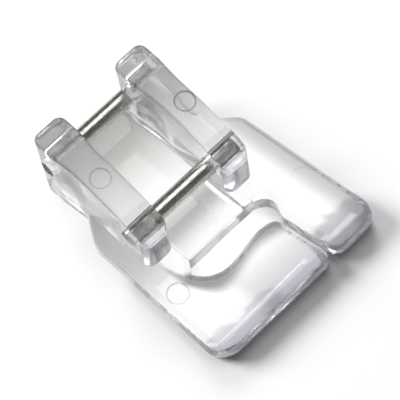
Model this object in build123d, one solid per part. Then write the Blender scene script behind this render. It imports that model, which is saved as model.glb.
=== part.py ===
"""Clear clip-on presser foot with two steel cross pins, in millimetres.

Frame: +Z up with the sole on z = 0, the toes point to -Y, and the origin lies under the middle of the
foot's box. The shapes are drawn in a working frame first: X from the middle of the channel between the
rails, Y from the rear end of the foot, so the toes are at negative Y. The last step moves them.
"""
import os
from math import asin, cos, degrees, sin, sqrt

from build123d import *

# Rails that stand on the base
rail_length = 14.65
rail_height = 9.8
rail_thickness = 3.15
rail_corner = 0.9
rail_edge = 0.25
level_length = 4.0
crown_radius = 27.0
brow_length = 1.6
brow_drop = 1.45

# Thicker heels of the rails, round the rear pin
heel_length = 2.6
heel_to_waist = 0.7
heel_inner_step = 0.3
heel_outer_step = 0.25
heel_smoothing = 4.0

# Channel between the rails, which rises in a ramp to the sill of the needle slot
channel_width = 7.2
floor_height = 1.2
floor_fillet = 0.4
ramp_length = 4.6
sill_drop = 0.2
sill_round = 0.3

# Steel cross pins
pin_diameter = 1.8
pin_height = 5.5
rear_pin_inset = 1.35
front_pin_inset = 2.45
pin_recess = 0.15
pin_fit = 0.02
pin_chamfer = 0.15

# Base plate and toes, with reaches to each side of the channel's middle
foot_length = 25.9
base_thickness = 2.5
flare_start = 5.9
left_reach = 8.45
left_flare = 2.8
right_reach = 10.4
right_flare = 3.5
right_splay = 1.8
left_toe_corner = 2.2
right_toe_corner = 1.9
left_flare_corner = 2.4
right_flare_corner = 1.8
waist_corner = 0.8
top_round = 0.75
sole_bevel = 0.35

# Toe tips, turned up underneath and rolled down on top
upturn_length = 3.2
upturn_height = 0.8
tip_length = 1.7
tip_drop = 0.7

# Needle slot and thread slit
slot_rear = 16.45
slot_left = 4.35
slot_right = 5.95
slot_shoulder = 1.1
slot_lobe_depth = 2.9
slot_lobe_x = -2.0
slot_hump_depth = 2.5
slot_hump_x = 1.8
slot_sill_right = 4.6
slit_width = 0.5
slit_rear_x = 4.95
slit_front_x = 6.1
slit_corner = 1.0

# Stitch tunnel in the sole behind the needle slot
tunnel_width = 9.4
tunnel_depth = 0.45

# Round witness marks left by the mould's ejector pins
mark_depth = 0.06
rail_mark_diameter = 1.95
left_rail_mark_inset = 1.5
right_rail_mark_inset = 1.2
rail_mark_from_rear = 7.55
toe_mark_diameter = 2.1
toe_mark_from_rear = 18.2
left_toe_mark_x = -6.7
right_toe_mark_x = 9.5

# Places worked out from the sizes above
overcut = 1.0
level_enough = 0.5
rail_inner = channel_width / 2
rail_outer = rail_inner + rail_thickness
heel_inner = rail_inner - heel_inner_step
heel_outer = rail_outer + heel_outer_step
heel_end = heel_to_waist - flare_start
sill_height = base_thickness - sill_drop
front_reach = right_reach + right_splay
crown_run = rail_length - brow_length - level_length
slot_front = -slot_rear - slot_lobe_depth
slot_middle = (slot_right - slot_left) / 2
pin_places = {"rear_pin": -rear_pin_inset, "front_pin": front_pin_inset - rail_length}


def crown_drop(run):
    """Fall of the rail top at a distance ahead of the end of its level stretch."""
    return crown_radius - sqrt(crown_radius**2 - run**2)


def across(profile, half_width):
    """Profile drawn as (Y, Z) and extruded to both sides of the channel's middle."""
    return extrude(Plane.YZ * profile, half_width, both=True)


def rim(faces):
    """Edges of a group of faces that only one of them has."""
    edges = [edge for face in faces for edge in face.edges()]
    return [edge for edge in edges if sum(edge.is_same(other) for other in edges) == 1]


def rounded_polygon(corners):
    """Face with straight sides between corner points, each rounded to its own radius."""
    face = make_face(Polyline(*[point for point, radius in corners], close=True))
    for point, radius in corners:
        if radius > 0:
            face = fillet(face.vertices().sort_by_distance((*point, 0))[0], radius)
    return face


def base_outline():
    """Plan of the base: as wide as the rails at the rear, then flared to each side into the toes."""
    corners = [
        ((-heel_outer, 0), rail_corner),
        ((-heel_outer, -heel_length), heel_smoothing),
        ((-rail_outer, heel_end), heel_smoothing),
        ((-rail_outer, -flare_start), waist_corner),
        ((-left_reach, -flare_start - left_flare), left_flare_corner),
        ((-left_reach, -foot_length), left_toe_corner),
        ((front_reach, -foot_length), right_toe_corner),
        ((right_reach, -flare_start - right_flare), right_flare_corner),
        ((rail_outer, -flare_start), waist_corner),
        ((rail_outer, heel_end), heel_smoothing),
        ((heel_outer, -heel_length), heel_smoothing),
        ((heel_outer, 0), rail_corner),
    ]
    return rounded_polygon(corners)


def slot_and_slit_outline():
    """Plan of the needle slot, with its wavy front edge, joined to the thread slit."""
    shoulder = -slot_rear - slot_shoulder
    slit_end_y = -foot_length - overcut
    sill_left = (-rail_inner, -slot_rear)
    sill_right = (slot_sill_right, -slot_rear)
    left_end = (-slot_left, shoulder)
    right_end = (slot_right, shoulder)
    slit_left_root = (slit_rear_x, slot_front)
    slit_right_root = (slit_rear_x + slit_width, slot_front)
    slit_left_end = (slit_front_x, slit_end_y)
    slit_right_end = (slit_front_x + slit_width, slit_end_y)
    lobe = (slot_lobe_x, slot_front)
    hump = (slot_hump_x, -slot_rear - slot_hump_depth)
    edges = [
        Line(sill_left, left_end),
        Spline(left_end, lobe, hump, slit_left_root),
        Line(slit_left_root, slit_left_end),
        Line(slit_left_end, slit_right_end),
        Line(slit_right_end, slit_right_root),
        Spline(slit_right_root, right_end, sill_right),
        Line(sill_right, sill_left),
    ]
    return make_face(edges)


def plate_plan():
    """Plan of the base with the slot and slit cut out and the corners beside the slit rounded."""
    plan = base_outline() - slot_and_slit_outline()
    slit_mouth = (slit_front_x + slit_width / 2, -foot_length, 0)
    slit_root = (slit_rear_x + slit_width / 2, slot_front, 0)
    for place in (slit_mouth, slit_root):
        plan = fillet(plan.vertices().sort_by_distance(place)[:2], slit_corner)
    return plan


def upturn_cutter():
    """Space under the toe tips, bounded by an arc that leaves the sole tangentially."""
    start = -foot_length + upturn_length
    radius = (upturn_length**2 + upturn_height**2) / (2 * upturn_height)
    ahead = Rectangle(radius, 2 * radius, align=(Align.MAX, Align.CENTER))
    return across(Pos(start, 0) * ahead - Pos(start, radius) * Circle(radius), front_reach + overcut)


def tip_cutter():
    """Space above the toe tips, bounded by an arc that leaves the flat top tangentially."""
    start = -foot_length + tip_length
    radius = (tip_length**2 + tip_drop**2) / (2 * tip_drop)
    ahead = Rectangle(radius, 2 * radius, align=(Align.MAX, Align.CENTER))
    profile = Pos(start, base_thickness) * ahead - Pos(start, base_thickness - radius) * Circle(radius)
    return across(profile, front_reach + overcut)


def base_plate():
    """Sole plate with both toes, rounded round the top and bevelled round the sole, but square at the sill."""
    plate = extrude(plate_plan(), base_thickness) - upturn_cutter() - tip_cutter()
    over = [face for face in plate.faces() if face.normal_at(face.center()).Z > level_enough]
    plate = fillet(rim(over), top_round)
    under = [face for face in plate.faces() if face.normal_at(face.center()).Z < -level_enough]
    plate = chamfer(rim(under), sole_bevel)
    sill_size = (rail_inner + slot_sill_right, ramp_length, base_thickness - sole_bevel)
    sill = Box(*sill_size, align=(Align.MIN, Align.MIN, Align.MIN))
    return plate + Pos(-rail_inner, -slot_rear, sole_bevel) * sill


def rail_plan():
    """Plan of the right-hand rail, with the thicker heel at its rear end."""
    corners = [
        ((heel_inner, 0), rail_corner),
        ((heel_outer, 0), rail_corner),
        ((heel_outer, -heel_length), heel_smoothing),
        ((rail_outer, heel_end), heel_smoothing),
        ((rail_outer, -rail_length), rail_corner),
        ((rail_inner, -rail_length), rail_corner),
        ((rail_inner, heel_end), heel_smoothing),
        ((heel_inner, -heel_length), heel_smoothing),
    ]
    return rounded_polygon(corners)


def rail_profile():
    """Side view of a rail: level at the rear, crowned towards the front, with a brow that rolls down."""
    root = base_thickness / 2
    brow_y = -level_length - crown_run
    brow_height = rail_height - crown_drop(crown_run)
    brow_angle = asin(crown_run / crown_radius)
    brow_tangent = (-cos(brow_angle), -sin(brow_angle))
    front_height = brow_height - brow_drop
    edges = [
        Line((0, root), (0, rail_height)),
        Line((0, rail_height), (-level_length, rail_height)),
        TangentArc((-level_length, rail_height), (brow_y, brow_height), tangent=(-1, 0)),
        TangentArc((brow_y, brow_height), (-rail_length, front_height), tangent=brow_tangent),
        Line((-rail_length, front_height), (-rail_length, root)),
        Line((-rail_length, root), (0, root)),
    ]
    return make_face(edges)


def rail():
    """Right-hand rail, rounded round its top."""
    block = extrude(rail_plan(), rail_height) & across(rail_profile(), heel_outer + overcut)
    top = [face for face in block.faces() if face.normal_at(face.center()).Z > level_enough]
    return fillet(rim(top), rail_edge)


def channel_plan():
    """Plan of the channel: between the heels, then between the rails, with a rounded mouth at the rear."""
    mouth = heel_inner + 2 * rail_corner
    right_side = [
        ((mouth, overcut), 0),
        ((mouth, 0), 0),
        ((heel_inner, 0), rail_corner),
        ((heel_inner, -heel_length), heel_smoothing),
        ((rail_inner, heel_end), heel_smoothing),
        ((rail_inner, -slot_rear - overcut), 0),
    ]
    left_side = [((-x, y), radius) for (x, y), radius in reversed(right_side)]
    return rounded_polygon(right_side + left_side)


def channel_profile():
    """Side view of the channel: a level floor, then a ramp that sweeps up to the sill of the slot."""
    top = rail_height + overcut
    ramp_start = -slot_rear + ramp_length
    edges = [
        Line((overcut, floor_height), (ramp_start, floor_height)),
        TangentArc((ramp_start, floor_height), (-slot_rear, sill_height), tangent=(-1, 0)),
        Line((-slot_rear, sill_height), (-slot_rear, top)),
        Line((-slot_rear, top), (overcut, top)),
        Line((overcut, top), (overcut, floor_height)),
    ]
    return make_face(edges)


def channel_cutter():
    """Space between the rails, with rounded corners where the walls meet the floor."""
    space = across(channel_profile(), heel_outer) & extrude(channel_plan(), rail_height + 2 * overcut)
    floor = [face for face in space.faces() if face.normal_at(face.center()).Z < -level_enough]
    walls = [edge for edge in rim(floor) if edge.center().Y < -rail_corner and abs(edge.center().X) > overcut]
    return fillet(walls, floor_fillet)


def base_with_channel():
    """Sole plate with the channel cut into it and the sill of the slot rounded."""
    base = base_plate() - channel_cutter()
    sill_edge = base.edges().sort_by_distance((0, -slot_rear, sill_height))[0]
    return fillet(sill_edge, sill_round)


def tunnel_cutter():
    """Shallow arched tunnel in the sole, from the needle slot to the rear end, that clears raised stitches."""
    radius = (tunnel_width**2 / 4 + tunnel_depth**2) / (2 * tunnel_depth)
    length = slot_rear + overcut
    cylinder = Cylinder(radius, length, rotation=(90, 0, 0))
    return Pos(slot_middle, overcut - length / 2, tunnel_depth - radius) * cylinder


def cross_cylinder(radius, length, y):
    """Cylinder across the foot at the pins' height."""
    return Pos(0, y, pin_height) * Cylinder(radius, length, rotation=(0, 90, 0))


def rail_mark(x):
    """Disc that sinks a witness mark square into the crowned top of one rail."""
    run = max(rail_mark_from_rear - level_length, 0)
    surface = Pos(x, -rail_mark_from_rear, rail_height - crown_drop(run))
    tilt = Rot(degrees(asin(run / crown_radius)), 0, 0)
    disc = Cylinder(rail_mark_diameter / 2, overcut, align=(Align.CENTER, Align.CENTER, Align.MIN))
    return surface * tilt * Pos(0, 0, -mark_depth) * disc


def toe_mark(x):
    """Disc that sinks a witness mark into the flat top of one toe."""
    disc = Cylinder(toe_mark_diameter / 2, overcut, align=(Align.CENTER, Align.CENTER, Align.MIN))
    return Pos(x, -toe_mark_from_rear, base_thickness - mark_depth) * disc


def clear_foot_body():
    """One-piece clear moulding."""
    right_rail = rail()
    body = base_with_channel() + right_rail
    body += mirror(right_rail, Plane.YZ)
    body -= tunnel_cutter()
    for y in pin_places.values():
        body -= cross_cylinder(pin_diameter / 2 + pin_fit, 2 * (heel_outer + overcut), y)
    for x in (left_rail_mark_inset - rail_outer, rail_outer - right_rail_mark_inset):
        body -= rail_mark(x)
    for x in (left_toe_mark_x, right_toe_mark_x):
        body -= toe_mark(x)
    return body


def cross_pin(y):
    """Steel pin across both rails, with its ends sunk below their outer faces."""
    pin = cross_cylinder(pin_diameter / 2, 2 * (rail_outer - pin_recess), y)
    return chamfer(pin.edges().filter_by(GeomType.CIRCLE), pin_chamfer)


pieces = {"clear_foot_body": clear_foot_body()}
for name, y in pin_places.items():
    pieces[name] = cross_pin(y)

middle = pieces["clear_foot_body"].bounding_box().center()
to_frame = Location((-middle.X, -middle.Y, 0))

os.makedirs("parts", exist_ok=True)
for name, piece in pieces.items():
    export_step(to_frame * piece, f"parts/{name}.step")
    print(name, "volume", round(piece.volume, 2), "mm3")
print("working frame moved by", round(-middle.X, 3), round(-middle.Y, 3))
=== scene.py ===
"""Looks of the clear presser foot: moulded plastic, steel pins, a white floor, soft light and the camera.

Everything is in metres in the part's frame: +Z up from the sole, toes towards -Y, origin under the middle.
Places on the foot that a material uses are in millimetres. Azimuths are in degrees from +Y towards +X.
"""
from math import atan2, cos, pi, radians, sin

import bpy
from mathutils import Matrix, Vector

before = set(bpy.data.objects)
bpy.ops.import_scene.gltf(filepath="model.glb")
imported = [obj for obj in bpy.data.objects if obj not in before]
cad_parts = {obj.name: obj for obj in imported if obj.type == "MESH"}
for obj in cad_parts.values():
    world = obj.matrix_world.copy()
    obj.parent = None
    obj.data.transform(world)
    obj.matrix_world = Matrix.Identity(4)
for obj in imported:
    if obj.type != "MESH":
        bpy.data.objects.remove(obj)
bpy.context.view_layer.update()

mm = 0.001
white = (1.0, 1.0, 1.0, 1.0)

# Camera, set to the photograph's view
picture_side = 400
focal_length_pixels = 2720.967
sensor_width = 36.0
camera_azimuth = 213.307
camera_elevation = 63.895
camera_roll = -12.332
camera_distance = 252.902 * mm
camera_target = Vector((-0.561, -0.15, 3.0)) * mm
near_clip_share = 0.01

# Light paths, long enough for light that is turned back and forth inside the plastic
most_bounces = 24
glossy_bounces = 16

# Lamps behind the foot: name, azimuth, power, and whether it is seen through the plastic
rear_lamps = [("rear_left", -34.0, 1.95, False), ("rear_right", 32.0, 0.80, True)]
rear_elevation = 31.0
rear_distance = 400.0 * mm
rear_side = 200.0 * mm

# Soft strip overhead, and a faint spot on the needle slot
strip_towards = Vector((0.24, 0.168, 0.955)).normalized()
strip_distance = 300.0 * mm
strip_size = (100.0 * mm, 205.0 * mm)
strip_power = 0.170
slot_middle = Vector((-0.97, -4.95, 0.0)) * mm
spot_height = 120.0 * mm
spot_radius = 6.0 * mm
spot_softness = 1.0
spot_power = 0.36

# World: dim as a light, white to the camera and pale where it is seen through the plastic
world_horizon = (0.20, 0.20, 0.22, 1.0)
world_zenith = (0.10, 0.10, 0.11, 1.0)
world_through_plastic = (0.80, 0.80, 0.83, 1.0)

# Noise: its usual detail, and the values between which nearly all of it lies
usual_detail = 3.0
noise_low = 0.3
noise_high = 0.7

# Plastic: how clear it is, and the tint that thickness brings out
plastic_ior = 1.49
plastic_clarity = 0.95
thickness_tint = (0.76, 0.765, 0.785, 1.0)
thickness_density = 140.0

# Plastic's finish: faint haze all over, and satin on the rails, more on upright walls and less over the pins
haze_scale = 900.0
haze_roughness = 0.035
rails_from = -4.5
rails_full = -1.5
satin_roughness = 0.10
satin_on_walls = 1.7
wall_from = 0.8
wall_full = 0.98
satin_over_pins = 0.2
over_pin = 1.2
beside_pin = 2.0

# Holes of the pins, as their Y and Z, with scuffed walls
pin_places = [(11.6, 5.5), (0.75, 5.5)]
hole_inside = 0.96
hole_outside = 1.0
scuff_scale = 2600.0
scuff_stretch = (0.35, 1.0, 1.0)
scuff_level = 0.30

# Plastic's relief: flow waves, and dents where the toes' rims turn down
wave_scale = 330.0
wave_detail = 2.0
wave_stretch = (1.0, 0.45, 1.0)
wave_height = 0.03 * mm
wave_strength = 0.2
wave_on_rails = 0.2
dent_scale = 950.0
dent_height = 0.45 * mm
dent_strength = 0.7
dents_full = -7.0
dents_end = -4.0
steep_face = 0.6
level_face = 0.99

# Witness marks: middle, radius, the height above which the ring shows, and the ring's level, a painted shade
# line that stands in for the dark edge the mark's step gives by bending light
witness_marks = [((-7.016, 5.4), 0.975, 5.0, 0.45), ((3.784, 5.4), 0.975, 5.0, 0.14),
                 ((-8.466, -5.25), 1.05, 1.5, 0.50)]
ring_width = 0.11
ring_core = 0.033

# Shadow: the toes' fronts and the left toe's side turn the lamps' light aside, and the rest lets it through
shadow_full = -9.8
shadow_from = -7.4
side_full = -9.6
side_from = -8.6
side_end = -1.0
side_gone = 1.0
front_pass = 0.20
side_pass = 0.05
plastic_pass = 0.98

# Steel: tones, and the fine uneven lines that grinding leaves
steel_dark = (0.46, 0.45, 0.40, 1.0)
steel_bright = (0.68, 0.67, 0.60, 1.0)
steel_tone_scale = 700.0
line_scale = 4200.0
line_stretch = (0.45, 1.0, 1.0)
line_smoothest = 0.18
line_roughest = 0.36
line_height = 0.012 * mm
line_strength = 0.25

# Floor, and where it is seen through the plastic, a glow of painted light and shade that stands in for the
# light the plastic bends onto it; its level falls towards the tips and the rear
floor_side = 4.0
floor_gap = 0.02 * mm
paper_white = (0.97, 0.97, 0.97, 1.0)
painted_light_white = 1.14
along_levels = [(-17.0, 0.60), (-14.0, 0.76), (-12.4, 0.82), (-9.6, 0.95), (-8.0, 1.0), (-2.0, 1.0),
                (3.0, 1.0), (5.5, 0.84), (7.5, 0.70), (10.0, 0.42), (12.4, 0.26), (14.5, 0.16), (16.0, 0.14)]
# Tints of that glow: a cool painted shade under the tips, warmer at the rear
tips_shade_tint = (0.84, 0.85, 1.0, 1.0)
rear_tint = (1.0, 1.0, 0.955, 1.0)
painted_tint_stops = [(-12.0, tips_shade_tint), (-9.8, white), (0.1, white), (10.0, rear_tint)]

# Open floor beside the right rail, which stays light
beside_rail_x = 4.9
beside_rail_y = 2.2
beside_rail_soft = 0.5

# Shade along the right rim, by the distance in from it
right_edge_at_middle = 9.02
right_edge_splay = 0.109
right_levels = [(-1.0, 0.45), (0.5, 0.48), (1.15, 0.60), (1.7, 0.80), (2.3, 1.0), (3.2, 1.0)]

# Shade under the channel's ramp
channel_middle = -1.766
channel_half = 3.6
channel_soft = 0.6
ramp_levels = [(-3.4, 1.0), (-2.4, 0.95), (-0.7, 0.58), (0.5, 0.38), (1.6, 0.45), (3.4, 1.0), (4.4, 1.0)]

# Shade along the needle slot's wavy front lip, by the distance from it
lip_y = -6.05
lip_wave = 0.39
lip_wave_length = 8.9
lip_crest_x = 0.26
lip_left = -6.6
lip_right = 3.2
lip_fade = 0.8
lip_bend_x = -4.6
lip_bend = 0.4
lip_levels = [(0.0, 0.18), (0.5, 0.22), (0.95, 0.55), (1.4, 0.92), (1.75, 1.0), (2.3, 1.0)]

# Shade at the toes' fronts, with a ragged edge, which lies further ahead on the left toe
nose_levels = [(-12.0, 0.46), (-10.5, 0.46), (-9.5, 0.50), (-9.1, 0.92), (-8.8, 1.0), (-8.2, 1.0)]
nose_x = 3.7
nose_fade = 0.3
corner_x = -4.0
corner_fade = 3.0
corner_ahead = 1.2
corner_least = 0.70
ragged_scale = 550.0
ragged_reach = 0.5

# Shade at the left toe's inner end
wedge_x = 0.6
wedge_fade = 5.2
wedge_levels = [(-13.0, 0.66), (-9.5, 0.66), (-7.8, 0.82), (-6.6, 1.0), (-6.0, 1.0)]

# Shade at the foot's left shoulder
shoulder_x = -7.5
shoulder_fade = 1.4
shoulder_levels = [(-6.0, 1.0), (-4.8, 1.0), (-3.0, 0.85), (-0.5, 0.54), (2.5, 0.46), (6.0, 0.40),
                   (8.0, 0.40)]


class Nodes:
    """Node tree with short calls to add nodes and link them."""

    def __init__(self, tree):
        self.tree = tree
        tree.nodes.clear()

    def add(self, kind, **settings):
        node = self.tree.nodes.new(kind)
        for name, value in settings.items():
            setattr(node, name, value)
        return node

    def link(self, source, target):
        self.tree.links.new(source, target)

    def split(self, vector):
        """Three parts of a vector."""
        node = self.add("ShaderNodeSeparateXYZ")
        self.link(vector, node.inputs["Vector"])
        return node.outputs

    def stretched(self, scale):
        """Object coordinates times a factor along each axis."""
        mapping = self.add("ShaderNodeMapping")
        mapping.inputs["Scale"].default_value = scale
        self.link(self.add("ShaderNodeTexCoord").outputs["Object"], mapping.inputs["Vector"])
        return mapping.outputs["Vector"]

    def place(self):
        """Object coordinates in millimetres, as three outputs."""
        return self.split(self.stretched((1 / mm, 1 / mm, 1 / mm)))

    def facing(self):
        """Direction that the surface faces, as three outputs."""
        return self.split(self.add("ShaderNodeNewGeometry").outputs["Normal"])

    def math(self, operation, *values):
        node = self.add("ShaderNodeMath", operation=operation)
        for socket, value in zip(node.inputs, values):
            if isinstance(value, (int, float)):
                socket.default_value = value
            else:
                self.link(value, socket)
        return node.outputs[0]

    def fold(self, operation, first, *others):
        """One operation over any number of values."""
        for other in others:
            first = self.math(operation, first, other)
        return first

    def gap(self, value, other):
        """Distance between two values."""
        return self.math("ABSOLUTE", self.math("SUBTRACT", value, other))

    def apart(self, first, second, point):
        """Distance of two coordinates from a point."""
        along = self.math("POWER", self.math("SUBTRACT", first, point[0]), 2.0)
        across = self.math("POWER", self.math("SUBTRACT", second, point[1]), 2.0)
        return self.math("SQRT", self.math("ADD", along, across))

    def span(self, value, low, high, to_low, to_high):
        """Value carried from one range to another and kept inside it."""
        node = self.add("ShaderNodeMapRange")
        for name, number in zip(("From Min", "From Max", "To Min", "To Max"), (low, high, to_low, to_high)):
            node.inputs[name].default_value = number
        self.link(value, node.inputs["Value"])
        return node.outputs["Result"]

    def rise(self, value, start, end):
        """From 0 at one value to 1 at another."""
        return self.span(value, start, end, 0.0, 1.0)

    def noise(self, scale, stretch=(1.0, 1.0, 1.0), detail=usual_detail):
        node = self.add("ShaderNodeTexNoise")
        node.inputs["Scale"].default_value = scale
        node.inputs["Detail"].default_value = detail
        self.link(self.stretched(stretch), node.inputs["Vector"])
        return node.outputs["Fac"]

    def uneven(self, noise, low, high):
        """Noise carried to a range."""
        return self.span(noise, noise_low, noise_high, low, high)

    def colours(self, value, stops, interpolation="LINEAR"):
        """Colour ramp along a value, from (value, colour) stops."""
        first, last = stops[0][0], stops[-1][0]
        ramp = self.add("ShaderNodeValToRGB")
        ramp.color_ramp.interpolation = interpolation
        elements = ramp.color_ramp.elements
        for position, _ in stops[1:-1]:
            elements.new((position - first) / (last - first))
        for element, (_, colour) in zip(elements, stops):
            element.color = colour
        self.link(self.rise(value, first, last), ramp.inputs["Fac"])
        return ramp.outputs["Color"]

    def grades(self, value, levels):
        """Smooth grey levels along a value, from (value, level) stops."""
        return self.colours(value, [(stop, (level, level, level, 1.0)) for stop, level in levels], "B_SPLINE")

    def bump(self, height, distance, strength, normal=None):
        node = self.add("ShaderNodeBump")
        node.inputs["Strength"].default_value = strength
        node.inputs["Distance"].default_value = distance
        self.link(height, node.inputs["Height"])
        if normal is not None:
            self.link(normal, node.inputs["Normal"])
        return node.outputs["Normal"]

    def mixed(self, ray, usual, special):
        """One shader for most rays and another for the named kind of ray."""
        mix = self.add("ShaderNodeMixShader")
        self.link(self.add("ShaderNodeLightPath").outputs[ray], mix.inputs["Fac"])
        self.link(usual, mix.inputs[1])
        self.link(special, mix.inputs[2])
        return mix.outputs["Shader"]


def new_material(name):
    material = bpy.data.materials.new(name)
    material.use_nodes = True
    return material, Nodes(material.node_tree)


def hole_levels(nodes, y, z):
    """Grey streaks on the walls of the pins' holes, where the pins were pressed in."""
    streaks = nodes.uneven(nodes.noise(scuff_scale, scuff_stretch), scuff_level, 1.0)
    levels = []
    for pin_place in pin_places:
        outside = nodes.rise(nodes.apart(y, z, pin_place), hole_inside, hole_outside)
        levels.append(nodes.math("MAXIMUM", streaks, outside))
    return levels


def painted_ring_shades(nodes, x, y, z):
    """Thin painted shade line round each witness mark, standing in for the dark edge its step gives by
    bending light.
    """
    levels = []
    for middle, radius, lowest, ring_shade_level in witness_marks:
        from_ring = nodes.gap(nodes.apart(x, y, middle), radius)
        level = nodes.span(from_ring, ring_core, ring_width, ring_shade_level, 1.0)
        levels.append(nodes.math("MAXIMUM", level, nodes.math("LESS_THAN", z, lowest)))
    return levels


def plastic_colour(nodes):
    """Clear, with grey streaks in the pins' holes and a painted shade ring round each witness mark."""
    x, y, z = nodes.place()
    return nodes.fold("MINIMUM", *hole_levels(nodes, y, z), *painted_ring_shades(nodes, x, y, z))


def plastic_roughness(nodes):
    """Patches of faint haze, with satin rails."""
    y = nodes.place()["Y"]
    haze = nodes.uneven(nodes.noise(haze_scale), 0.0, haze_roughness)
    satin = nodes.span(y, rails_from, rails_full, 0.0, satin_roughness)
    sideways = nodes.math("ABSOLUTE", nodes.facing()["X"])
    factors = [nodes.span(sideways, wall_from, wall_full, 1.0, satin_on_walls)]
    for pin_y, _ in pin_places:
        factors.append(nodes.span(nodes.gap(y, pin_y), over_pin, beside_pin, satin_over_pins, 1.0))
    return nodes.math("ADD", haze, nodes.fold("MULTIPLY", satin, *factors))


def plastic_normal(nodes):
    """Flow waves, calmer on the rails, and dents on the toes' rims."""
    y = nodes.place()["Y"]
    calm = nodes.span(y, rails_from, rails_full, 1.0, wave_on_rails)
    waves = nodes.math("MULTIPLY", nodes.noise(wave_scale, wave_stretch, wave_detail), calm)
    wavy = nodes.bump(waves, wave_height, wave_strength)
    upwards = nodes.math("ABSOLUTE", nodes.facing()["Z"])
    steep = nodes.span(upwards, steep_face, level_face, 1.0, 0.0)
    on_toes = nodes.span(y, dents_full, dents_end, 1.0, 0.0)
    dents = nodes.fold("MULTIPLY", nodes.noise(dent_scale), steep, on_toes)
    return nodes.bump(dents, dent_height, dent_strength, wavy)


def light_let_through(nodes):
    """Transparent shader for the lamps' light."""
    x, y, _ = nodes.place()
    front = nodes.span(y, shadow_full, shadow_from, front_pass, plastic_pass)
    side = nodes.span(x, side_full, side_from, side_pass, plastic_pass)
    behind = nodes.span(y, side_end, side_gone, 0.0, plastic_pass)
    passing = nodes.add("ShaderNodeBsdfTransparent")
    nodes.link(nodes.math("MINIMUM", front, nodes.math("MAXIMUM", side, behind)), passing.inputs["Color"])
    return passing.outputs["BSDF"]


def clear_plastic():
    """Clear moulding with haze, flow waves, satin rails and a grey tint that thickness brings out."""
    material, nodes = new_material("clear_plastic")
    output = nodes.add("ShaderNodeOutputMaterial")
    shader = nodes.add("ShaderNodeBsdfPrincipled")
    shader.inputs["Transmission Weight"].default_value = plastic_clarity
    shader.inputs["IOR"].default_value = plastic_ior
    nodes.link(plastic_colour(nodes), shader.inputs["Base Color"])
    nodes.link(plastic_roughness(nodes), shader.inputs["Roughness"])
    nodes.link(plastic_normal(nodes), shader.inputs["Normal"])
    tint = nodes.add("ShaderNodeVolumeAbsorption")
    tint.inputs["Color"].default_value = thickness_tint
    tint.inputs["Density"].default_value = thickness_density
    surface = nodes.mixed("Is Shadow Ray", shader.outputs["BSDF"], light_let_through(nodes))
    nodes.link(surface, output.inputs["Surface"])
    nodes.link(tint.outputs["Volume"], output.inputs["Volume"])
    return material


def pin_steel():
    """Ground bright steel with a tone that varies and fine uneven lines along the pin."""
    material, nodes = new_material("pin_steel")
    output = nodes.add("ShaderNodeOutputMaterial")
    shader = nodes.add("ShaderNodeBsdfPrincipled")
    shader.inputs["Metallic"].default_value = 1.0
    tone = nodes.colours(nodes.noise(steel_tone_scale), [(0.0, steel_dark), (1.0, steel_bright)])
    nodes.link(tone, shader.inputs["Base Color"])
    lines = nodes.noise(line_scale, line_stretch)
    nodes.link(nodes.uneven(lines, line_smoothest, line_roughest), shader.inputs["Roughness"])
    nodes.link(nodes.bump(lines, line_height, line_strength), shader.inputs["Normal"])
    nodes.link(shader.outputs["BSDF"], output.inputs["Surface"])
    return material


def along_shade(nodes, x, y):
    """Shade along the foot, apart from the open floor beside the right rail."""
    right = nodes.rise(x, beside_rail_x - beside_rail_soft, beside_rail_x + beside_rail_soft)
    behind = nodes.rise(y, beside_rail_y - beside_rail_soft, beside_rail_y + beside_rail_soft)
    return nodes.math("MAXIMUM", nodes.grades(y, along_levels), nodes.math("MULTIPLY", right, behind))


def right_rim_shade(nodes, x, y):
    """Shade that follows the splayed right rim."""
    splayed = nodes.math("MULTIPLY_ADD", y, right_edge_splay, x)
    return nodes.grades(nodes.math("SUBTRACT", right_edge_at_middle, splayed), right_levels)


def ramp_shade(nodes, x, y):
    """Shade across the channel."""
    outside = nodes.rise(nodes.gap(x, channel_middle), channel_half - channel_soft, channel_half)
    return nodes.math("MAXIMUM", nodes.grades(y, ramp_levels), outside)


def lip_shade(nodes, x, y):
    """Shade that follows the slot's front lip: a wave that bends back at its left end."""
    phase = nodes.math("MULTIPLY", nodes.math("SUBTRACT", x, lip_crest_x), 2 * pi / lip_wave_length)
    wave = nodes.math("MULTIPLY", nodes.math("COSINE", phase), lip_wave)
    past_bend = nodes.math("MAXIMUM", nodes.math("SUBTRACT", lip_bend_x, x), 0.0)
    bend = nodes.math("MULTIPLY", nodes.math("POWER", past_bend, 2.0), lip_bend)
    from_lip = nodes.gap(y, nodes.fold("ADD", lip_y, wave, bend))
    past_left = nodes.rise(x, lip_left, lip_left - lip_fade)
    past_right = nodes.rise(x, lip_right, lip_right + lip_fade)
    return nodes.fold("MAXIMUM", nodes.grades(from_lip, lip_levels), past_left, past_right)


def toe_front_shade(nodes, x, y):
    """Shade under both toes' fronts, with a ragged edge."""
    ragged = nodes.uneven(nodes.noise(ragged_scale), -ragged_reach, ragged_reach)
    front = nodes.math("ADD", y, ragged)
    left_of_nose = nodes.rise(x, nose_x, nose_x - nose_fade)
    nose = nodes.math("MAXIMUM", nodes.grades(front, nose_levels), left_of_nose)
    right_of_corner = nodes.rise(x, corner_x, corner_x + corner_fade)
    further = nodes.grades(nodes.math("ADD", front, corner_ahead), nose_levels)
    corner = nodes.fold("MAXIMUM", further, right_of_corner, corner_least)
    return nodes.math("MULTIPLY", nose, corner)


def wedge_shade(nodes, x, y):
    """Shade that deepens towards the left toe's inner end."""
    left_of_wedge = nodes.rise(x, wedge_x, wedge_x - wedge_fade)
    right_of_wedge = nodes.rise(x, nose_x - nose_fade, nose_x)
    return nodes.fold("MAXIMUM", nodes.grades(y, wedge_levels), left_of_wedge, right_of_wedge)


def shoulder_shade(nodes, x, y):
    """Shade left of the left rail."""
    inside = nodes.rise(x, shoulder_x - shoulder_fade / 2, shoulder_x + shoulder_fade / 2)
    return nodes.math("MAXIMUM", nodes.grades(y, shoulder_levels), inside)


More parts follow.
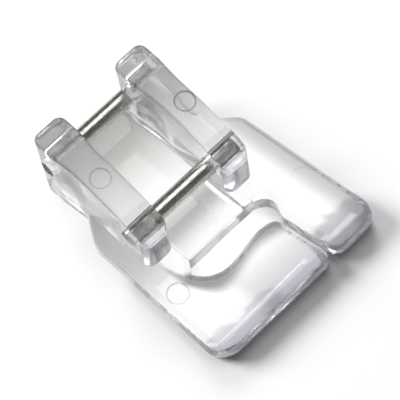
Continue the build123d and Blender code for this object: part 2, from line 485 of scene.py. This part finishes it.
def painted_light_level(nodes):
    """Level of the painted glow on the floor under the plastic: all its painted shades together."""
    x, y, _ = nodes.place()
    shades = [shade(nodes, x, y) for shade in (along_shade, right_rim_shade, ramp_shade, lip_shade,
                                               toe_front_shade, wedge_shade, shoulder_shade)]
    return nodes.fold("MULTIPLY", painted_light_white, *shades)


def white_floor():
    """Matt white paper that keeps the shadow, and shows through the plastic as a glow of painted light and
    shade.
    """
    material, nodes = new_material("white_floor")
    output = nodes.add("ShaderNodeOutputMaterial")
    paper = nodes.add("ShaderNodeBsdfDiffuse")
    paper.inputs["Color"].default_value = paper_white
    painted_glow = nodes.add("ShaderNodeEmission")
    nodes.link(nodes.colours(nodes.place()["Y"], painted_tint_stops), painted_glow.inputs["Color"])
    nodes.link(painted_light_level(nodes), painted_glow.inputs["Strength"])
    surface = nodes.mixed("Is Transmission Ray", paper.outputs["BSDF"], painted_glow.outputs["Emission"])
    nodes.link(surface, output.inputs["Surface"])
    return material


def make_floor():
    half = floor_side / 2
    corners = [(-half, -half, 0), (half, -half, 0), (half, half, 0), (-half, half, 0)]
    mesh = bpy.data.meshes.new("floor")
    mesh.from_pydata(corners, [], [(0, 1, 2, 3)])
    floor = bpy.data.objects.new("floor", mesh)
    floor.location.z = -floor_gap
    floor.data.materials.append(white_floor())
    bpy.context.scene.collection.objects.link(floor)


def background(nodes, colour):
    shader = nodes.add("ShaderNodeBackground")
    shader.inputs["Color"].default_value = colour
    return shader.outputs["Background"]


def make_world():
    """Dim world, lighter at the horizon, that shows pale through the plastic and white to the camera."""
    world = bpy.data.worlds.new("studio")
    world.use_nodes = True
    bpy.context.scene.world = world
    nodes = Nodes(world.node_tree)
    output = nodes.add("ShaderNodeOutputWorld")
    height = nodes.split(nodes.add("ShaderNodeTexCoord").outputs["Generated"])["Z"]
    light = nodes.add("ShaderNodeBackground")
    nodes.link(nodes.colours(height, [(0.0, world_horizon), (1.0, world_zenith)]), light.inputs["Color"])
    pale = background(nodes, world_through_plastic)
    unseen = nodes.mixed("Is Transmission Ray", light.outputs["Background"], pale)
    nodes.link(nodes.mixed("Is Camera Ray", unseen, background(nodes, white)), output.inputs["Surface"])


def direction(azimuth, elevation):
    """Unit vector at an azimuth and an elevation in degrees."""
    turn, rise = radians(azimuth), radians(elevation)
    return Vector((sin(turn) * cos(rise), cos(turn) * cos(rise), sin(rise)))


def axes_facing(towards, upwards):
    """Turn of a lamp or camera that stands in a direction and looks back."""
    right = upwards.cross(towards).normalized()
    return Matrix((right, towards.cross(right), towards)).transposed().to_4x4()


def aim_lamp(name, towards, distance, power, size):
    """Rectangular lamp at a distance from the foot, turned to face it."""
    light = bpy.data.lights.new(name, "AREA")
    light.shape = "RECTANGLE"
    light.size, light.size_y = size
    light.energy = power
    lamp = bpy.data.objects.new(name, light)
    lamp.matrix_world = Matrix.Translation(towards * distance) @ axes_facing(towards, Vector((0, 1, 0)))
    bpy.context.scene.collection.objects.link(lamp)
    return lamp


def make_lamps():
    for name, azimuth, power, seen_through in rear_lamps:
        towards = direction(azimuth, rear_elevation)
        rear = aim_lamp(name, towards, rear_distance, power, (rear_side, rear_side))
        rear.visible_glossy = False
        rear.visible_transmission = seen_through
    strip = aim_lamp("soft_strip", strip_towards, strip_distance, strip_power, strip_size)
    strip.visible_transmission = False


def make_slot_spot():
    spot = bpy.data.lights.new("slot_spot", "SPOT")
    spot.energy = spot_power
    spot.spot_size = 2 * atan2(spot_radius, spot_height)
    spot.spot_blend = spot_softness
    lamp = bpy.data.objects.new("slot_spot", spot)
    lamp.location = slot_middle + Vector((0, 0, spot_height))
    bpy.context.scene.collection.objects.link(lamp)


def make_camera():
    towards = direction(camera_azimuth, camera_elevation)
    roll = Matrix.Rotation(radians(camera_roll), 4, "Z")
    camera = bpy.data.objects.new("camera", bpy.data.cameras.new("camera"))
    camera.data.sensor_width = sensor_width
    camera.data.lens = focal_length_pixels / picture_side * sensor_width
    camera.data.clip_start = near_clip_share * camera_distance
    place = Matrix.Translation(camera_target + towards * camera_distance)
    camera.matrix_world = place @ axes_facing(towards, Vector((0, 0, 1))) @ roll
    bpy.context.scene.collection.objects.link(camera)
    bpy.context.scene.camera = camera


def dress(node, material):
    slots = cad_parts[node].data.materials
    slots.clear()
    slots.append(material)


scene = bpy.context.scene
scene.view_settings.view_transform = "Standard"
scene.cycles.caustics_reflective = False
scene.cycles.caustics_refractive = False
scene.cycles.max_bounces = most_bounces
scene.cycles.glossy_bounces = glossy_bounces
scene.cycles.transmission_bounces = most_bounces
scene.cycles.transparent_max_bounces = most_bounces

dress("clear_foot_body", clear_plastic())
steel = pin_steel()
for pin in ("rear_pin", "front_pin"):
    dress(pin, steel)
make_floor()
make_world()
make_lamps()
make_slot_spot()
make_camera()
